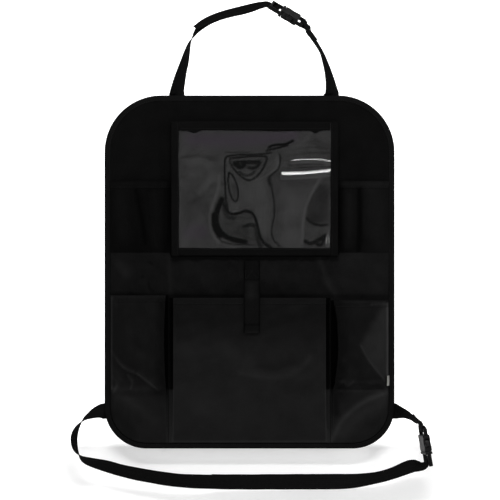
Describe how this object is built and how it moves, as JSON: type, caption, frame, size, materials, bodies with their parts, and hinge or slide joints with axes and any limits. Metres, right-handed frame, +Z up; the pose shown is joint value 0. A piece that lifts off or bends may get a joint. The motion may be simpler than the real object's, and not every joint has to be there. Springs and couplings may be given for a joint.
{
  "type": "car seat back organizer",
  "caption": "Hanging organizer for the back of a car seat: padded panel with bound edge, clear tablet sleeve, stitched pockets, a closure tab, and strap loops with side-release buckles",
  "frame": {"origin": "middle of the panel's back face, the face that lies against the back of the seat", "axes": "+X to the right seen from the front, +Z up along the hanging panel, -Y out of the front towards the passenger; +Y is the outward normal of the back face"},
  "size_m": [0.5598, 0.0429, 0.7593],
  "materials": {
    "panel_cloth": "satin",
    "pocket_cloth": "satin",
    "coated_cloth": "satin",
    "tape": "matt",
    "webbing": "satin",
    "fastener": "matt",
    "buckle_plastic": "satin",
    "tag_cloth": "matt",
    "clear_film": "clear"
  },
  "bodies": {
    "root": {"back_panel": "panel_cloth", "lower_facing": "panel_cloth", "upper_left_pocket": "pocket_cloth", "upper_right_pocket": "pocket_cloth", "centre_pocket": "coated_cloth", "lower_left_pocket": "coated_cloth", "lower_right_pocket": "coated_cloth", "edge_binding": "tape", "sleeve_tape_left": "tape", "sleeve_tape_right": "tape", "sleeve_tape_bottom": "tape", "sleeve_hem_top": "tape", "closure_tab": "webbing", "top_strap_left": "webbing", "top_strap_right": "webbing", "bottom_strap_left": "webbing", "bottom_strap_right": "webbing", "tab_hook_patch": "fastener", "tab_loop_patch": "fastener", "top_buckle_socket": "buckle_plastic", "top_buckle_plug": "buckle_plastic", "bottom_buckle_socket": "buckle_plastic", "bottom_buckle_plug": "buckle_plastic", "side_tag": "tag_cloth", "sleeve_film": "clear_film"}
  },
  "joints": []
}
